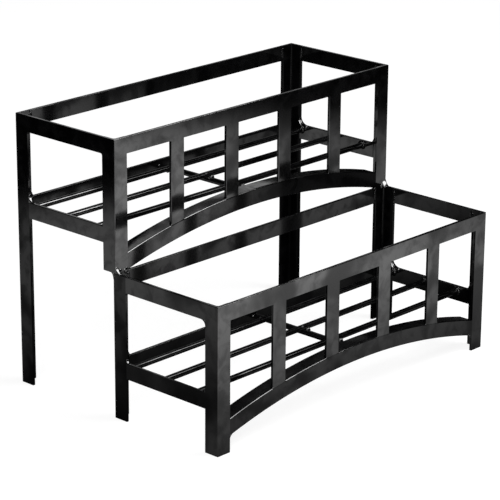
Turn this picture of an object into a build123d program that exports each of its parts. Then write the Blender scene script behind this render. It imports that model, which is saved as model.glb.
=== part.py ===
from build123d import *
import math
import os

# Two-step display rack for jars, welded from steel angle, flat bar and round bar.
# Millimetres. +X runs to the right along the rack, -Y is the front, +Z is up.
# The origin is on the floor, at the middle of the rack's footprint.

# The rack as a whole
RACK_WIDTH = 612.0          # over the legs, left to right
TIER_DEPTH = 212.0          # front face to back face of one tier
TIER_HEIGHT = 228.0         # foot of a tier to the top of its ring
SHELF_HEIGHT = 93.0         # foot of a tier to the top of its shelf rails

# Bar stock
BAR_WIDTH = 25.4            # each leg of the angle, and the width of the flat bar
UPRIGHT_WIDTH = 27.5        # flat bar of the uprights, a little wider
BAR_THICKNESS = 4.8         # of the angle and of every flat bar
REAR_RAIL_WIDTH = 19.0      # narrower flat bar along the back of each shelf
ROD_DIAMETER = 9.5          # round bar of the shelves
ANGLE_ROOT_RADIUS = 4.0     # inside corner of the angle
ANGLE_TOE_RADIUS = 2.0      # inner edge of the angle's toes
EDGE_RADIUS = 1.0           # worn outer edges of the bars

# Shelf
ROD_COUNT = 3
ROD_MARGIN = 24.0           # arch flange, and rear rail, to the middle of the nearest rod
SHELF_DROP = 4.0            # top of the rods, and of the arch's crown, below the shelf rails' top
CROSS_BAR_OFFSET = 11.0     # bar under the rods, to the right of the middle of the rack
ROD_GAP = 0.3               # between the rods and the cross bar under them

# Front
UPRIGHT_COUNT = 4
ARCH_END_GAP = 0.5          # arch's ends above the ring that the next tier stands on

# Weld beads
RING_WELD = 8.0             # corners under the end rails of a ring
SHELF_WELD = 6.0            # corners above a shelf rail
BACK_SHELF_WELD = 12.0      # corners above an end shelf rail, at the back legs
FOOT_WELD = 5.0             # behind the foot of an upright, and under an end of the lower arch
STEP_WELD_REACH = 7.0       # in front of an upper front leg's foot, along the ring
STEP_WELD_RISE = 12.0       # the same bead, up the leg
OVERHANG_WELD_REACH = 5.0   # under the part of that leg that stands past the ring
OVERHANG_WELD_DROP = 10.0   # the same bead, down the lower leg's back
SEAM_WELD_WIDTH = 7.0       # bead over a seam on the inner faces
SEAM_WELD_HEIGHT = 1.8
SEAM_WELD_INSET = 4.0       # seam bead's ends, from the ends of its seam
COLLAR_WELD = 2.5           # round a rod's end
COLLAR_RIM = 0.4            # thickness of a collar's thin end
CROSSING_WELD_RADIUS = 5.5  # lump where a rod lies on the cross bar
WELD_SETBACK = 0.5          # corner bead's sides, from the faces of the bars
WELD_GAP = 0.2              # between a bead and the round bar that it holds
WELD_HOLLOW = 0.36          # middle of a corner bead's face, as a share of its legs

# Worked out from the sizes above
HALF_WIDTH = RACK_WIDTH / 2
HALF_SPAN = HALF_WIDTH - BAR_WIDTH
INNER_HALF_WIDTH = HALF_WIDTH - BAR_THICKNESS
TIER_RISE = TIER_HEIGHT - BAR_WIDTH
TIER_SETBACK = TIER_DEPTH - BAR_THICKNESS
RACK_DEPTH = TIER_DEPTH + TIER_SETBACK
ROD_RADIUS = ROD_DIAMETER / 2

RIGHT = Vector(1, 0, 0)
BACK = Vector(0, 1, 0)
UP = Vector(0, 0, 1)


class Tier:
    """Levels and planes that the bars of one tier share."""

    def __init__(self, index):
        self.name = ("lower", "upper")[index]
        self.base = index * TIER_RISE
        self.front = -RACK_DEPTH / 2 + index * TIER_SETBACK
        self.back = self.front + TIER_DEPTH
        self.front_foot = index * TIER_HEIGHT
        self.ring_top = self.base + TIER_HEIGHT
        self.ring_bottom = self.ring_top - BAR_WIDTH
        self.shelf_top = self.base + SHELF_HEIGHT
        self.shelf_bottom = self.shelf_top - BAR_WIDTH
        self.inner_front = self.front + BAR_THICKNESS
        self.inner_back = self.back - BAR_THICKNESS
        self.front_toe = self.front + BAR_WIDTH
        self.back_toe = self.back - BAR_WIDTH
        self.rear_rail_bottom = self.shelf_top - REAR_RAIL_WIDTH
        self.crown = self.shelf_top - SHELF_DROP
        self.rod_level = self.crown - ROD_RADIUS
        self.cross_bar_level = self.rod_level - ROD_DIAMETER - ROD_GAP
        first_rod = self.front_toe + ROD_MARGIN
        last_rod = self.inner_back - ROD_MARGIN
        pitch = (last_rod - first_rod) / (ROD_COUNT - 1)
        self.rod_places = [first_rod + i * pitch for i in range(ROD_COUNT)]
        self.arch_end = self.base + BAR_WIDTH + ARCH_END_GAP
        rise = self.crown - BAR_WIDTH - self.arch_end
        self.arch_inner_radius = (HALF_SPAN**2 + rise**2) / (2 * rise)
        self.arch_outer_radius = self.arch_inner_radius + BAR_WIDTH
        self.arch_centre = self.crown - self.arch_outer_radius


def block(low, high):
    """Box between two opposite corners."""
    size = Vector(*high) - Vector(*low)
    return Pos((Vector(*low) + Vector(*high)) / 2) * Box(size.X, size.Y, size.Z)


def round_long_edges(bar, axis, top_only=False):
    """Wear the edges of a bar that run along an axis."""
    edges = bar.edges().filter_by(axis)
    if top_only:
        edges = edges.group_by(Axis.Z)[-1]
    return fillet(edges, EDGE_RADIUS)


def round_bar(start, end):
    """Round bar between two points."""
    axis = end - start
    return Plane(origin=start, z_dir=axis) * Cylinder(
        ROD_RADIUS, axis.length, align=(Align.CENTER, Align.CENTER, Align.MIN)
    )


def angle_section(toe_radius):
    """Angle's section, with its heel at the origin and its legs along X and Y."""
    section = make_face(
        Polyline(
            (0, 0),
            (BAR_WIDTH, 0),
            (BAR_WIDTH, BAR_THICKNESS),
            (BAR_THICKNESS, BAR_THICKNESS),
            (BAR_THICKNESS, BAR_WIDTH),
            (0, BAR_WIDTH),
            close=True,
        )
    )
    rounded_corners = [
        ((0, 0), EDGE_RADIUS),
        ((BAR_THICKNESS, BAR_THICKNESS), ANGLE_ROOT_RADIUS),
    ]
    if toe_radius:
        rounded_corners.append(((BAR_WIDTH, BAR_THICKNESS), toe_radius))
        rounded_corners.append(((BAR_THICKNESS, BAR_WIDTH), toe_radius))
    for corner, radius in rounded_corners:
        nearest = section.vertices().sort_by_distance((*corner, 0))[0]
        section = fillet(nearest, radius)
    return section


def leg(x, y, bottom, top, turn):
    """Upright length of angle with its heel at an outer corner of a tier."""
    post = extrude(angle_section(ANGLE_TOE_RADIUS), top - bottom)
    top_edges = post.edges().group_by(Axis.Z)[-1]
    outer_edges = top_edges.filter_by(lambda e: min(e.center().X, e.center().Y) < EDGE_RADIUS)
    return Pos(x, y, bottom) * Rot(0, 0, turn) * fillet(outer_edges, EDGE_RADIUS)


def legs(tier):
    """Four corner legs, anticlockwise from above; the upper front pair stands on the lower ring."""
    corners = [
        ("front_left_leg", -HALF_WIDTH, tier.front, tier.front_foot),
        ("front_right_leg", HALF_WIDTH, tier.front, tier.front_foot),
        ("back_right_leg", HALF_WIDTH, tier.back, 0),
        ("back_left_leg", -HALF_WIDTH, tier.back, 0),
    ]
    return {
        name: leg(x, y, bottom, tier.ring_top, 90 * quarter)
        for quarter, (name, x, y, bottom) in enumerate(corners)
    }


def ring_rails(tier):
    """Flat bars on edge between the toes of the legs, level with their tops."""
    bars = {}
    for name, y in (("front", tier.front), ("back", tier.inner_back)):
        rail = block(
            (-HALF_SPAN, y, tier.ring_bottom),
            (HALF_SPAN, y + BAR_THICKNESS, tier.ring_top),
        )
        bars[f"{name}_top_rail"] = round_long_edges(rail, Axis.X, top_only=True)
    for name, x in (("left", -HALF_WIDTH), ("right", INNER_HALF_WIDTH)):
        rail = block(
            (x, tier.front_toe, tier.ring_bottom),
            (x + BAR_THICKNESS, tier.back_toe, tier.ring_top),
        )
        bars[f"{name}_top_rail"] = round_long_edges(rail, Axis.Y, top_only=True)
    return bars


def shelf_rails(tier):
    """Flat bars on edge at both ends and along the back of the shelf."""
    bars = {}
    for name, x in (("left", -HALF_WIDTH), ("right", INNER_HALF_WIDTH)):
        rail = block(
            (x, tier.front_toe, tier.shelf_bottom),
            (x + BAR_THICKNESS, tier.back_toe, tier.shelf_top),
        )
        bars[f"{name}_shelf_rail"] = round_long_edges(rail, Axis.Y)
    rear = block(
        (-HALF_SPAN, tier.inner_back, tier.rear_rail_bottom),
        (HALF_SPAN, tier.back, tier.shelf_top),
    )
    bars["rear_shelf_rail"] = round_long_edges(rear, Axis.X)
    return bars


def shelf_rods(tier):
    """Round bars along the shelf, and one across under them."""
    bars = {}
    for number, y in enumerate(tier.rod_places, start=1):
        start = Vector(-INNER_HALF_WIDTH, y, tier.rod_level)
        end = Vector(INNER_HALF_WIDTH, y, tier.rod_level)
        bars[f"shelf_rod_{number}"] = round_bar(start, end)
    bars["shelf_cross_bar"] = round_bar(
        Vector(CROSS_BAR_OFFSET, tier.inner_front, tier.cross_bar_level),
        Vector(CROSS_BAR_OFFSET, tier.inner_back, tier.cross_bar_level),
    )
    return bars


def front_arch(tier):
    """Angle rolled to an arc, square at its toes, with its flange on top and pointing back."""
    crown_plane = Plane(origin=(0, tier.front, tier.crown), x_dir=BACK, z_dir=-RIGHT)
    centre_line = Axis((0, 0, tier.arch_centre), BACK)
    section = crown_plane * angle_section(toe_radius=0)
    half_circle = revolve(section, centre_line, 180).rotate(centre_line, -90)
    between_legs = block(
        (-HALF_SPAN, tier.front - BAR_WIDTH, tier.base),
        (HALF_SPAN, tier.front_toe + BAR_WIDTH, tier.ring_top),
    )
    return half_circle & between_legs


def upright_places():
    """Left edges of the uprights, with equal windows between them."""
    window = (2 * HALF_SPAN - UPRIGHT_COUNT * UPRIGHT_WIDTH) / (UPRIGHT_COUNT + 1)
    return [-HALF_SPAN + window + i * (window + UPRIGHT_WIDTH) for i in range(UPRIGHT_COUNT)]


def uprights(tier):
    """Flat bars in the front face, from the arch up to the ring."""
    arch_disc = Plane(origin=(0, tier.front, tier.arch_centre), z_dir=BACK) * Cylinder(
        tier.arch_outer_radius, BAR_THICKNESS, align=(Align.CENTER, Align.CENTER, Align.MIN)
    )
    bars = {}
    for number, left in enumerate(upright_places(), start=1):
        bar = block(
            (left, tier.front, tier.arch_end),
            (left + UPRIGHT_WIDTH, tier.inner_front, tier.ring_bottom),
        )
        bars[f"upright_{number}"] = round_long_edges(bar, Axis.Z) - arch_disc
    return bars


def corner_weld(corner, first, second, width):
    """Bead with a hollow face, in the corner between two faces.

    first and second run from the corner along the faces, as long as the bead's legs.
    """
    plane = Plane(origin=corner, x_dir=first, z_dir=first.cross(second))
    first_tip = plane.to_local_coords(corner + first)
    second_tip = plane.to_local_coords(corner + second)
    middle = (first_tip + second_tip) * WELD_HOLLOW
    outline = [
        Line((0, 0), first_tip),
        ThreePointArc(first_tip, middle, second_tip),
        Line(second_tip, (0, 0)),
    ]
    return extrude(plane * make_face(outline), width / 2, both=True)


def seam_weld(start, end, normal):
    """Low round bead along a seam, on a face with the given outward normal."""
    run = end - start
    plane = Plane(origin=start, x_dir=normal.cross(run), z_dir=run)
    half = SEAM_WELD_WIDTH / 2
    outline = [
        ThreePointArc((-half, 0), (0, SEAM_WELD_HEIGHT), (half, 0)),
        Line((half, 0), (-half, 0)),
    ]
    return extrude(plane * make_face(outline), run.length)


def collar_weld(point, direction):
    """Bead round the end of a round bar that leaves a face in a direction."""
    bore = ROD_RADIUS + WELD_GAP
    seat = (Align.CENTER, Align.CENTER, Align.MIN)
    collar = Cone(ROD_RADIUS + COLLAR_WELD, bore + COLLAR_RIM, COLLAR_WELD, align=seat)
    return Plane(origin=point, z_dir=direction) * (collar - Cylinder(bore, COLLAR_WELD, align=seat))


def ring_welds(tier):
    """Beads in the corners under the end rails, and over the inner seams of the ring."""
    beads = []
    low = tier.ring_bottom + SEAM_WELD_INSET
    high = tier.ring_top - SEAM_WELD_INSET
    for side in (-1, 1):
        rail_middle = side * (HALF_WIDTH - BAR_THICKNESS / 2)
        for toe, inward in ((tier.front_toe, BACK), (tier.back_toe, -BACK)):
            corner = Vector(rail_middle, toe, tier.ring_bottom)
            width = BAR_THICKNESS - 2 * WELD_SETBACK
            beads.append(corner_weld(corner, inward * RING_WELD, -UP * RING_WELD, width))
            seam = Vector(side * INNER_HALF_WIDTH, toe, 0)
            beads.append(seam_weld(seam + UP * low, seam + UP * high, RIGHT * -side))
        for inner_face, inward in ((tier.inner_front, BACK), (tier.inner_back, -BACK)):
            seam = Vector(side * HALF_SPAN, inner_face, 0)
            beads.append(seam_weld(seam + UP * low, seam + UP * high, inward))
    return beads


def shelf_corner_welds(tier):
    """Beads in the corners above the ends of the shelf rails."""
    beads = []
    width = BAR_THICKNESS - 2 * WELD_SETBACK
    for side in (-1, 1):
        rail_middle = side * (HALF_WIDTH - BAR_THICKNESS / 2)
        front_corner = Vector(rail_middle, tier.front_toe, tier.shelf_top)
        beads.append(corner_weld(front_corner, BACK * SHELF_WELD, UP * SHELF_WELD, width))
        back_corner = Vector(rail_middle, tier.back_toe, tier.shelf_top)
        beads.append(corner_weld(back_corner, -BACK * BACK_SHELF_WELD, UP * BACK_SHELF_WELD, width))
        rear_corner = Vector(side * HALF_SPAN, tier.back - BAR_THICKNESS / 2, tier.shelf_top)
        beads.append(corner_weld(rear_corner, RIGHT * (-side * SHELF_WELD), UP * SHELF_WELD, width))
    return beads


def shelf_rod_welds(tier):
    """Beads at the ends of the round bars, and where they cross."""
    beads = []
    for y in tier.rod_places:
        for side in (-1, 1):
            end = Vector(side * INNER_HALF_WIDTH, y, tier.rod_level)
            beads.append(collar_weld(end, RIGHT * -side))
    # The rear rail is narrower than the bar's collar, and the arch has its root above it.
    flange_root = tier.crown - BAR_THICKNESS - ANGLE_ROOT_RADIUS
    seat = block(
        (-HALF_SPAN, tier.front, tier.rear_rail_bottom),
        (HALF_SPAN, tier.back, flange_root),
    )
    for y, direction in ((tier.inner_front, BACK), (tier.inner_back, -BACK)):
        end = Vector(CROSS_BAR_OFFSET, y, tier.cross_bar_level)
        beads += (collar_weld(end, direction) & seat).solids()
    crossing_level = (tier.rod_level + tier.cross_bar_level) / 2
    rod_space = Rot(0, 90, 0) * Cylinder(ROD_RADIUS + WELD_GAP, RACK_WIDTH)
    bar_space = Rot(90, 0, 0) * Cylinder(ROD_RADIUS + WELD_GAP, RACK_DEPTH)
    rise = tier.rod_level - crossing_level
    lump = Sphere(CROSSING_WELD_RADIUS) - Pos(0, 0, rise) * rod_space - Pos(0, 0, -rise) * bar_space
    for y in tier.rod_places:
        beads += (Pos(CROSS_BAR_OFFSET, y, crossing_level) * lump).solids()
    return beads


def front_welds(tier):
    """Beads on the inner side of the uprights' tops and feet."""
    beads = []
    for left in upright_places():
        start = Vector(left + SEAM_WELD_INSET, tier.inner_front, tier.ring_bottom)
        end = Vector(left + UPRIGHT_WIDTH - SEAM_WELD_INSET, tier.inner_front, tier.ring_bottom)
        beads.append(seam_weld(start, end, BACK))
        middle = left + UPRIGHT_WIDTH / 2
        lean = math.asin(middle / tier.arch_outer_radius)
        outward = Vector(math.sin(lean), 0, math.cos(lean))
        foot = Vector(0, tier.inner_front, tier.arch_centre) + outward * tier.arch_outer_radius
        length = UPRIGHT_WIDTH - 2 * WELD_SETBACK
        beads.append(corner_weld(foot, BACK * FOOT_WELD, outward * FOOT_WELD, length))
    return beads


def arch_end_welds(tier):
    """Beads under the ends of an arch, against the toes of the legs."""
    beads = []
    # The bead's upper face is a chord of the arch's lower edge.
    slope = math.asin(HALF_SPAN / tier.arch_inner_radius) - FOOT_WELD / tier.arch_inner_radius / 2
    for side in (-1, 1):
        corner = Vector(side * HALF_SPAN, tier.front + BAR_THICKNESS / 2, tier.arch_end)
        along_arch = Vector(-side * math.cos(slope), 0, math.sin(slope))
        width = BAR_THICKNESS - 2 * WELD_SETBACK
        beads.append(corner_weld(corner, along_arch * FOOT_WELD, -UP * FOOT_WELD, width))
    return beads


def tier_joint_welds(lower, upper):
    """Beads that hold the upper front legs on the lower ring."""
    beads = []
    width = BAR_THICKNESS - 2 * WELD_SETBACK
    for side in (-1, 1):
        end_plane = side * (HALF_WIDTH - BAR_THICKNESS / 2)
        step = Vector(end_plane, upper.front, lower.ring_top)
        beads.append(corner_weld(step, -BACK * STEP_WELD_REACH, UP * STEP_WELD_RISE, width))
        overhang = Vector(end_plane, lower.back, lower.ring_top)
        beads.append(corner_weld(overhang, BACK * OVERHANG_WELD_REACH, -UP * OVERHANG_WELD_DROP, width))
        seam_start = Vector(side * (INNER_HALF_WIDTH - ANGLE_ROOT_RADIUS), upper.front, lower.ring_top)
        seam_end = Vector(side * HALF_SPAN, upper.front, lower.ring_top)
        beads.append(seam_weld(seam_start, seam_end, -BACK))
    return beads


def tier_bars(tier):
    """Every bar of one tier by name."""
    bars = legs(tier) | ring_rails(tier) | shelf_rails(tier) | shelf_rods(tier)
    bars["front_arch"] = front_arch(tier)
    return bars | uprights(tier)


def rack():
    """Every piece of the rack by name."""
    lower, upper = Tier(0), Tier(1)
    pieces = {}
    for tier in (lower, upper):
        pieces |= {f"{tier.name}_{name}": bar for name, bar in tier_bars(tier).items()}
        pieces[f"{tier.name}_ring_welds"] = Compound(ring_welds(tier))
        pieces[f"{tier.name}_shelf_welds"] = Compound(shelf_corner_welds(tier) + shelf_rod_welds(tier))
    pieces["lower_front_welds"] = Compound(front_welds(lower) + arch_end_welds(lower))
    pieces["upper_front_welds"] = Compound(front_welds(upper))
    pieces["tier_joint_welds"] = Compound(tier_joint_welds(lower, upper))
    return pieces


os.makedirs("parts", exist_ok=True)
for name, piece in rack().items():
    export_step(piece, f"parts/{name}.step")
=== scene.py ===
"""Finish, weld beads and studio for a welded two-tier jar rack, laid out as a Blender add-on."""

import math
import random

import bmesh
import bpy
from bpy.props import FloatProperty, FloatVectorProperty, PointerProperty
from mathutils import Matrix, Vector, noise


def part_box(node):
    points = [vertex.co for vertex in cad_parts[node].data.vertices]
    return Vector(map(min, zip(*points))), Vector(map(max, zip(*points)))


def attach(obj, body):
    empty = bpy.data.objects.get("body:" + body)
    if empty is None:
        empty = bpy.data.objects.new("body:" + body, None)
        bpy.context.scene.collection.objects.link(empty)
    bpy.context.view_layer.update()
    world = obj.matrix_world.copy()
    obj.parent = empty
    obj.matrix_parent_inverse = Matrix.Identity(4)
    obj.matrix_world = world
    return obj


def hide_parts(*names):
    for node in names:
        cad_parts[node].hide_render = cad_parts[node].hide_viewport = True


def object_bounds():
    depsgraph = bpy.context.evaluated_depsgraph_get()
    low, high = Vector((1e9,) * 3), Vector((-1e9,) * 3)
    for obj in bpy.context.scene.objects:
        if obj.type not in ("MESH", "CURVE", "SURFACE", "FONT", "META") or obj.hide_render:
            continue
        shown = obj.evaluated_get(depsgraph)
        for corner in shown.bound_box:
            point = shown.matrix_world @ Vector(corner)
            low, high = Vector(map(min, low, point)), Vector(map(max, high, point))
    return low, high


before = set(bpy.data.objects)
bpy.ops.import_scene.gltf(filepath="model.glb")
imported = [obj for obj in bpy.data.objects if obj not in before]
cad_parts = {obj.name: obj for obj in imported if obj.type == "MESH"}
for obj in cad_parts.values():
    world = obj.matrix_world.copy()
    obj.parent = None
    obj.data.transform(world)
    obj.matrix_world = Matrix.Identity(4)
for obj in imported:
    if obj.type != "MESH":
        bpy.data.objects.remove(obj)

bl_info = {
    "name": "Jar Rack",
    "version": (1, 0, 0),
    "blender": (4, 5, 0),
    "location": "3D View > Sidebar > Jar Rack",
    "description": "Paints the bars of a welded jar rack, lays its weld beads and sets up a studio",
    "category": "Object",
}

CAD_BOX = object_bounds()
BODY = "root"
TIERS = ("lower", "upper")
ROD_NUMBERS = (1, 2, 3)
UPRIGHT_NUMBERS = (1, 2, 3, 4)

# Left and right, or before and behind
SIDES = (-1, 1)

# Names of the coats, and the strength of their grain and blur of their gloss
BAR_COAT = "bar_paint"
# Painted shade: the bars at the back take a copy of the paint with weaker gloss
SHADED_BACK_COAT = "back_bar_paint"
# Painted shade: a copy of the paint with almost no gloss, on the lower ledge and the right back legs
PAINTED_SHADE_COAT = "dull_paint"
# Painted highlight: the upper rods' gloss grows towards their left ends
ROD_HIGHLIGHT_COAT = "upper_rod_paint"
# Painted shade: the arches' fronts take copies of the paint with weaker gloss, fading out to the right on
# the upper one
SHADED_ARCH_COAT = "arch_front_paint"
UPPER_ARCH_SHADE_COAT = "upper_arch_front_paint"
BEAD_COAT = "bead_paint"
BAR_FINISH = (0.12, 0.08)
BEAD_FINISH = (0.2, 0.1)

# Words in the names of bars with a coat of their own; the first that fits counts. The bars at the back,
# the rods and the cross bar take weaker gloss as painted shade; the upper rods' coat adds a painted
# highlight at their left ends; the right back legs take almost no gloss, as painted shade.
NAMED_COATS = {
    "_back_right_leg": PAINTED_SHADE_COAT,
    "upper_shelf_rod": ROD_HIGHLIGHT_COAT,
    "_shelf_rod": SHADED_BACK_COAT,
    "_back_": SHADED_BACK_COAT,
    "_rear_": SHADED_BACK_COAT,
    "_cross_bar": SHADED_BACK_COAT,
}

# Coats of the arches' fronts and ledges: weaker gloss on the fronts is painted shade, fading out to the
# right on the upper one, and almost no gloss on the lower ledge is painted shade under the upper tier
FRONT_COATS = {"lower": SHADED_ARCH_COAT, "upper": UPPER_ARCH_SHADE_COAT}
LEDGE_COATS = {"lower": PAINTED_SHADE_COAT, "upper": BAR_COAT}

# How far forward a face's normal points, at least to look forward and at most to look up
FRONT_FACING = 0.97
LEVEL_FACING = 0.05

# Where the gloss on the upper arch's front and on the upper rods starts and ends to fade along X, and
# its share there: painted shade that darkens the upper arch's front towards the right, and a painted
# highlight that brightens the upper rods towards their left ends
ARCH_SHADE_FADE = (-0.27, 0.07, 1.6, 0.03)
ROD_HIGHLIGHT_FADE = (-0.26, -0.12, 2.2, 1.0)

# Paint: reflection under the gloss, refraction of the gloss, depth of the grain
SPECULAR = 0.05
GLOSS_IOR = 2.0
GRAIN_DEPTH = 0.0004

# Detail and distortion of the noise that makes the patches, the broad changes of gloss and the grain
PATCH_NOISE = (4, 0.6)
WIDE_NOISE = (2, 0.3)
GRAIN_NOISE = (2, 0)

# Noise over which clouds and gloss come up, how much clouds dim the gloss, and how high patches stand
# against the grain
CLOUD_SPAN = (0.36, 0.68)
GLOSS_SPAN = (0.3, 0.56)
CLOUD_DIMMING = 0.55
PATCH_HEIGHT = 2.5

# Painted reflection: how bright the gloss sees the floor behind the rack: bearings from +X in degrees,
# strength, sharpness
BACK_LOBES = ((132, 0.4, 2.5), (60, 0.6, 4))

# Painted reflection: way in which the white that the gloss sees on the floor dims before the rack, where
# it starts and ends, and its brightness there
DIM_WAY = (1, 0.5, 0)
DIM_SPAN = (0.05, 0.6)
DIM_LEVELS = (1.15, 0.46)

# Where the painted reflection's white before the rack gives way to the one behind it
FRONT_SPAN = (-0.25, -0.05)

# How much farther the painted reflection ring reaches before the rack than behind it
RING_SHIFT = 0.1

# Where the floor's own white grows with the distance from the rack, and what it grows to
WHITE_SPAN = (0.8, 2.4)
FAR_WHITE = 0.95

# Fineness of the arches' and the beads' meshes
ARCH_STEPS = 72
ARCH_ROUNDING = 5
GROUND_STEPS = 4
RINGS_PER_RIPPLE = 7
FEWEST_RINGS = 12
BEAD_SIDES = 14
WEB_STEPS = 18
WEB_LAYERS = 8
DROP_FINENESS = 3

# Lengths that differ by less are the same
SAME_LENGTH = 1e-5

# How far an arch is rolled past its box before its ends are cut, and which of its edges look sharp
ARCH_OVERRUN = 1.05
SHARP_EDGE = math.radians(50)

# How far ground weld metal lies behind the bars' front face
GROUND_STEP = 0.00002

# How far a ripple's sides lag behind its middle, and the bluntness of a bead's ends
RIPPLE_LAG = 0.7
END_BLUNTNESS = 6

# Fineness of the unevenness of beads and drops, and the span of places that it is read from
BEAD_NOISE = 350
DROP_NOISE = 1.5
DRIFT_SPAN = 50

# Height of a collar and of an upright's foot bead as a share of their width
COLLAR_HEIGHT = 0.85
FOOT_HEIGHT = 0.75

# How far a foot bead's ends lie inside the upright's sides, and the slope of the beads under the arch
FOOT_INSET = 0.001
ARCH_END_SLOPE = 0.25

# Share of a web's swell at its rims, and how fast it grows from there
RIM_SHARE = 0.15
RIM_GROWTH = 4

# Beads where a rod lies on the cross bar: half their length and place beside the rod, in the bar's
# radii, and how much they lean upwards
CROSSING_REACH = 0.95
CROSSING_SIDE = 0.75
CROSSING_LEAN = 0.3

# Drops of spatter, in their radii: left of the cross bar on the rear rail; left of it, before and above
# the middle rod; before and below the right back shelf corner
RAIL_SPATTER = 10
ROD_SPATTER = (5, 1.4, 1.3)
CORNER_SPATTER = (6.5, 1.6)

# How far the beads under the cross bar's ends reach round it
UNDER_SWEEP = math.radians(130)

# Flatness of the webs' faces: of most webs, and of those inside the right back corners and before the
# upper front legs
ROUND_WEB = 1.12
FLAT_WEB = 2

# Lamps: name, width and height, place; and the point they all face
LAMPS = (
    ("key_lamp", (1.3, 1.8), (0.88, -1.15, 2.12)),
    ("fill_lamp", (1.6, 1.6), (-2.0, -1.2, 1.4)),
    ("back_lamp", (1.3, 1.0), (1.2, 1.5, 1.3)),
)
LAMP_AIM = Vector((0, 0, 0.2))

# White light; roughness of the floor; width of the camera's sensor in millimetres, and how near and far
# it sees
WHITE = (1, 1, 1, 1)
FLOOR_ROUGHNESS = 0.9
SENSOR_WIDTH = 36
CLIP_SPAN = (0.1, 100)

RIGHT = Vector((1, 0, 0))
BACK = Vector((0, 1, 0))
UP = Vector((0, 0, 1))


# Sizes and colours


class RackPaint(bpy.types.PropertyGroup):
    """Colours and gloss of the black paint."""

    dark: FloatVectorProperty(
        name="Thick Coat",
        description="Colour where the paint lies thick",
        subtype="COLOR",
        size=4,
        min=0,
        max=1,
        default=(0.0007, 0.0007, 0.0008, 1),
    )
    light: FloatVectorProperty(
        name="Thin Coat",
        description="Colour where the paint is thin and cloudy",
        subtype="COLOR",
        size=4,
        min=0,
        max=1,
        default=(0.0026, 0.0026, 0.0028, 1),
    )
    glossy: FloatProperty(
        name="Glossy Roughness",
        description="Roughness of the smoothest patches",
        subtype="FACTOR",
        min=0,
        max=1,
        default=0.2,
    )
    dull: FloatProperty(
        name="Dull Roughness",
        description="Roughness of the cloudy patches",
        subtype="FACTOR",
        min=0,
        max=1,
        default=0.38,
    )
    gloss: FloatVectorProperty(
        name="Gloss",
        description="Least and most weight of the clear gloss over the bars",
        size=2,
        min=0,
        max=1,
        default=(0.36, 1.0),
    )
    # Painted shade: weaker gloss darkens the bars at the back as if shaded inside the rack
    shaded_back_gloss: FloatVectorProperty(
        name="Back Gloss",
        description="Least and most weight of the clear gloss over the bars at the back",
        size=2,
        min=0,
        max=1,
        default=(0.05, 0.45),
    )
    # Painted shade: almost no gloss on the lower ledge under the upper tier and on the right back legs
    painted_shade_gloss: FloatVectorProperty(
        name="Dull Gloss",
        description="Least and most weight of the clear gloss on the lower ledge and the right back legs",
        size=2,
        min=0,
        max=1,
        default=(0.0, 0.1),
    )
    # Painted shade: weaker gloss darkens the arches' fronts
    arch_gloss: FloatVectorProperty(
        name="Arch Gloss",
        description="Least and most weight of the clear gloss over the arches' fronts",
        size=2,
        min=0,
        max=1,
        default=(0.16, 0.55),
    )
    bead_gloss: FloatVectorProperty(
        name="Bead Gloss",
        description="Least and most weight of the clear gloss over the beads",
        size=2,
        min=0,
        max=1,
        default=(0.85, 1.0),
    )
    wide: FloatProperty(
        name="Wide Patch Size",
        description="Width of the broad changes of gloss along a bar",
        unit="LENGTH",
        min=0.001,
        default=0.09,
    )
    patch: FloatProperty(
        name="Patch Size",
        description="Width of the cloudy patches",
        unit="LENGTH",
        min=0.001,
        default=0.022,
    )
    grain: FloatProperty(
        name="Grain Size",
        description="Width of the coat's fine grain",
        unit="LENGTH",
        min=0.0001,
        default=0.0022,
    )


class RackArch(bpy.types.PropertyGroup):
    """Rounding of the rolled arches."""

    heel: FloatProperty(
        name="Heel Radius",
        description="Radius of the rolled angle's outer corner",
        unit="LENGTH",
        min=0.0001,
        default=0.0017,
    )
    root: FloatProperty(
        name="Root Radius",
        description="Radius of the rolled angle's inner corner",
        unit="LENGTH",
        min=0.0001,
        default=0.004,
    )
    edge: FloatProperty(
        name="Edge Radius",
        description="Radius of the rolled angle's other edges",
        unit="LENGTH",
        min=0.0001,
        default=0.0008,
    )


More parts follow.
